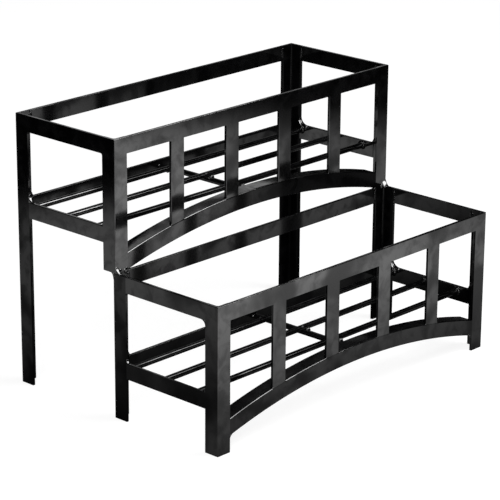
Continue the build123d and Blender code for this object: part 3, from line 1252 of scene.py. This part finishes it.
class RACK_OT_front_welds(bpy.types.Operator):
    """Lay the beads behind and under the uprights and under the lower arch's ends"""

    bl_idname = "jar_rack.front_welds"
    bl_label = "Front Welds"

    def execute(self, context):
        welds = context.scene.rack_welds
        for tier in map(Tier, TIERS):
            dice = random.Random(f"{tier.name} front")
            shape = bmesh.new()
            for number in UPRIGHT_NUMBERS:
                low, high = tier.box(f"upright_{number}")
                self.upright(shape, tier, low, high, welds, dice)
                ground_foot(shape, tier, low.x, high.x, welds.ground)
            if tier.name == "lower":
                self.arch_ends(shape, tier, welds, dice)
            coat_by_facing(shape)
            # Painted shade: the beads' front faces take the arch front's weaker gloss
            coats = (BEAD_COAT, FRONT_COATS[tier.name], BEAD_COAT)
            finish_piece(context, f"{tier.name}_front_beads", shape, coats, f"{tier.name}_front_welds")
        return {"FINISHED"}

    def upright(self, shape, tier, low, high, welds, dice):
        inset = welds.seam_width / 2
        start = Vector((low.x + inset, tier.inner_front, tier.ring_bottom))
        end = Vector((high.x - inset, tier.inner_front, tier.ring_bottom))
        straight_bead(shape, start, end, BACK, inset, welds.seam_height, welds, dice)
        start, end = tier.arch_top(low.x + FOOT_INSET), tier.arch_top(high.x - FOOT_INSET)
        normal = (BACK + UP).normalized()
        straight_bead(shape, start, end, normal, welds.foot, welds.foot * FOOT_HEIGHT, welds, dice)

    def arch_ends(self, shape, tier, welds, dice):
        arch = tier.box("front_arch")
        for side in SIDES:
            corner = Vector((side * tier.span, tier.front + tier.thickness / 2, arch[0].z))
            along = Vector((-side, 0, ARCH_END_SLOPE)).normalized() * welds.foot
            web_bead(shape, corner, along, -UP * welds.foot, BACK * tier.thickness, welds, dice)


class RACK_OT_tier_welds(bpy.types.Operator):
    """Lay the beads that hold the upper tier on the lower ring"""

    bl_idname = "jar_rack.tier_welds"
    bl_label = "Tier Welds"

    def execute(self, context):
        welds = context.scene.rack_welds
        dice = random.Random("tier joint")
        lower, upper = map(Tier, TIERS)
        shape = bmesh.new()
        for side, width, turn in zip(SIDES, welds.step_width, welds.step_turn):
            reach, rise = welds.step
            corner = Vector((side * (lower.outer - width / 2), upper.front, lower.ring_top))
            turned_web(shape, corner, reach, rise, width, turn, welds, dice)
            middle = side * (lower.outer - lower.thickness / 2)
            across = RIGHT * lower.thickness
            reach, depth = welds.overhang
            corner = Vector((middle, lower.back, lower.ring_top))
            web_bead(shape, corner, BACK * reach, -UP * depth, across, welds, dice)
            toe = Vector((side * lower.span, upper.front + lower.thickness / 2, lower.ring_top))
            leg = welds.foot
            web_bead(shape, toe, RIGHT * (-side * leg), UP * leg, BACK * lower.thickness, welds, dice)
            place = Vector((side * (lower.inner - welds.joint_drop[0]), upper.front, lower.ring_top))
            drop(shape, place, welds.joint_drop, welds, dice)
        place = Vector((-lower.span - welds.joint_drop[0], upper.front, lower.ring_top))
        drop(shape, place, welds.joint_drop, welds, dice)
        finish_piece(context, "tier_joint_beads", shape, (BEAD_COAT,), "tier_joint_welds")
        return {"FINISHED"}


class RACK_OT_studio(bpy.types.Operator):
    """Set up the floor, the lamps and the camera"""

    bl_idname = "jar_rack.studio"
    bl_label = "Studio"

    def execute(self, context):
        studio = context.scene.rack_studio
        self.lay_floor(context, studio)
        self.light_room(context, studio)
        self.place_camera(context, studio)
        context.scene.view_settings.view_transform = "Standard"
        return {"FINISHED"}

    def lay_floor(self, context, studio):
        mesh = bpy.data.meshes.new("studio_floor")
        shape = bmesh.new()
        bmesh.ops.create_grid(shape, x_segments=1, y_segments=1, size=studio.floor_width / 2)
        shape.to_mesh(mesh)
        shape.free()
        floor = bpy.data.objects.new("studio_floor", mesh)
        context.collection.objects.link(floor)
        mesh.materials.append(self.floor_material(studio))

    def floor_material(self, studio):
        """White floor that takes a soft shadow, and that the gloss sees as a painted reflection: a glowing
        bright ring over painted dark shade.
        """
        material = bpy.data.materials.new("pale_floor")
        material.use_nodes = True
        tree = material.node_tree
        shader = tree.nodes["Principled BSDF"]
        shader.inputs["Roughness"].default_value = FLOOR_ROUGHNESS
        shader.inputs["Specular IOR Level"].default_value = 0
        shader.inputs["Emission Color"].default_value = WHITE
        path = tree.nodes.new("ShaderNodeLightPath").outputs
        glossy = path["Is Glossy Ray"]
        # Painted shade: the gloss sees the floor's colour nearly black
        shade = add_colour_mix(tree, glossy, studio.floor_shade, studio.mirrored_floor_painted_shade)
        fill_socket(tree, shader.inputs["Base Color"], shade)
        direct = add_math(tree, "MAXIMUM", path["Is Camera Ray"], path["Is Transmission Ray"])
        place = tree.nodes.new("ShaderNodeTexCoord").outputs["Object"]
        distance = add_vector_math(tree, "LENGTH", place).outputs["Value"]
        level = add_range(tree, distance, *WHITE_SPAN, studio.floor_white, FAR_WHITE)
        white = add_math(tree, "MULTIPLY", direct, level)
        # Painted reflection: a glowing ring that only the gloss sees
        mirrored = add_math(tree, "MULTIPLY", glossy, self.floor_ring(tree, place, studio))
        fill_socket(tree, shader.inputs["Emission Strength"], add_math(tree, "MAXIMUM", white, mirrored))
        return material

    def floor_ring(self, tree, place, studio):
        """Painted reflection: a glowing ring of white round the rack's footprint that only the gloss sees,
        with painted shadow near the rack, strongest before its front's left end.
        """
        footprint = Vector((CAD_BOX[1].x, CAD_BOX[1].y, 0))
        outside = add_vector_math(tree, "ABSOLUTE", place).outputs["Vector"]
        outside = add_vector_math(tree, "SUBTRACT", outside, footprint).outputs["Vector"]
        outside = add_vector_math(tree, "MAXIMUM", outside, (0, 0, 0)).outputs["Vector"]
        distance = add_vector_math(tree, "LENGTH", outside).outputs["Value"]
        depth = add_vector_math(tree, "DOT_PRODUCT", place, BACK).outputs["Value"]
        shifted = add_math(tree, "MULTIPLY_ADD", depth, RING_SHIFT, distance)
        rise = add_range(tree, distance, *studio.ring_near, 0, 1, "LINEAR")
        fall = add_range(tree, shifted, *studio.ring_far, 1, 0)
        heading = add_vector_math(tree, "NORMALIZE", place).outputs["Vector"]
        aside = add_vector_math(tree, "DOT_PRODUCT", place, DIM_WAY).outputs["Value"]
        front = add_range(tree, aside, *DIM_SPAN, *DIM_LEVELS)
        lobes = [self.lobe(tree, heading, *lobe) for lobe in BACK_LOBES]
        level = add_range(tree, depth, *FRONT_SPAN, front, add_math(tree, "ADD", *lobes))
        return add_math(tree, "MULTIPLY", level, add_math(tree, "MULTIPLY", rise, fall))

    def lobe(self, tree, heading, bearing, strength, sharpness):
        """Brightness that fades to both sides of a bearing."""
        aim = Matrix.Rotation(math.radians(bearing), 3, "Z") @ RIGHT
        facing = add_vector_math(tree, "DOT_PRODUCT", heading, aim).outputs["Value"]
        fade = add_math(tree, "POWER", add_math(tree, "MAXIMUM", facing, 0), sharpness)
        return add_math(tree, "MULTIPLY", fade, strength)

    def light_room(self, context, studio):
        world = bpy.data.worlds.new("studio_room")
        world.use_nodes = True
        background = world.node_tree.nodes["Background"]
        background.inputs["Color"].default_value = WHITE
        background.inputs["Strength"].default_value = studio.room
        context.scene.world = world
        powers = (studio.key_power, studio.fill_power, studio.back_power)
        for (name, size, place), power in zip(LAMPS, powers):
            self.hang_lamp(context, name, power, size, Vector(place))

    def hang_lamp(self, context, name, power, size, place):
        lamp = bpy.data.lights.new(name, "AREA")
        lamp.energy = power
        lamp.shape = "RECTANGLE"
        lamp.size, lamp.size_y = size
        holder = bpy.data.objects.new(name, lamp)
        turn = (LAMP_AIM - place).to_track_quat("-Z", "Y").to_matrix().to_4x4()
        holder.matrix_world = Matrix.Translation(place) @ turn
        context.collection.objects.link(holder)

    def place_camera(self, context, studio):
        turn, rise = studio.azimuth, studio.elevation
        back = Vector(
            (math.sin(turn) * math.cos(rise), -math.cos(turn) * math.cos(rise), math.sin(rise))
        )
        right = Matrix.Rotation(studio.roll, 3, back) @ UP.cross(back).normalized()
        up = back.cross(right)
        place = Vector(studio.pivot) + back * studio.distance
        place += right * studio.slide[0] + up * studio.slide[1]
        lens = bpy.data.cameras.new("photo_camera")
        lens.lens = studio.lens
        lens.sensor_width = SENSOR_WIDTH
        lens.clip_start, lens.clip_end = CLIP_SPAN
        camera = bpy.data.objects.new("photo_camera", lens)
        turned = Matrix((right, up, back)).transposed().to_4x4()
        camera.matrix_world = Matrix.Translation(place) @ turned
        context.collection.objects.link(camera)
        context.scene.camera = camera


class RACK_PT_sidebar(bpy.types.Panel):
    """Steps that finish the rack"""

    bl_label = "Jar Rack"
    bl_idname = "RACK_PT_sidebar"
    bl_space_type = "VIEW_3D"
    bl_region_type = "UI"
    bl_category = "Jar Rack"

    def draw(self, context):
        for step in STEPS:
            self.layout.operator(step.bl_idname)


STEPS = (
    RACK_OT_paint_bars,
    RACK_OT_arches,
    RACK_OT_ring_welds,
    RACK_OT_shelf_welds,
    RACK_OT_front_welds,
    RACK_OT_tier_welds,
    RACK_OT_studio,
)
CLASSES = (RackPaint, RackArch, RackWelds, RackStudio, *STEPS, RACK_PT_sidebar)


def register():
    for each in CLASSES:
        bpy.utils.register_class(each)
    bpy.types.Scene.rack_paint = PointerProperty(type=RackPaint)
    bpy.types.Scene.rack_arch = PointerProperty(type=RackArch)
    bpy.types.Scene.rack_welds = PointerProperty(type=RackWelds)
    bpy.types.Scene.rack_studio = PointerProperty(type=RackStudio)


def unregister():
    del bpy.types.Scene.rack_studio
    del bpy.types.Scene.rack_welds
    del bpy.types.Scene.rack_arch
    del bpy.types.Scene.rack_paint
    for each in reversed(CLASSES):
        bpy.utils.unregister_class(each)


def main():
    register()
    bpy.ops.jar_rack.paint_bars()
    bpy.ops.jar_rack.arches()
    bpy.ops.jar_rack.ring_welds()
    bpy.ops.jar_rack.shelf_welds()
    bpy.ops.jar_rack.front_welds()
    bpy.ops.jar_rack.tier_welds()
    bpy.ops.jar_rack.studio()


if __name__ == "__main__":
    main()
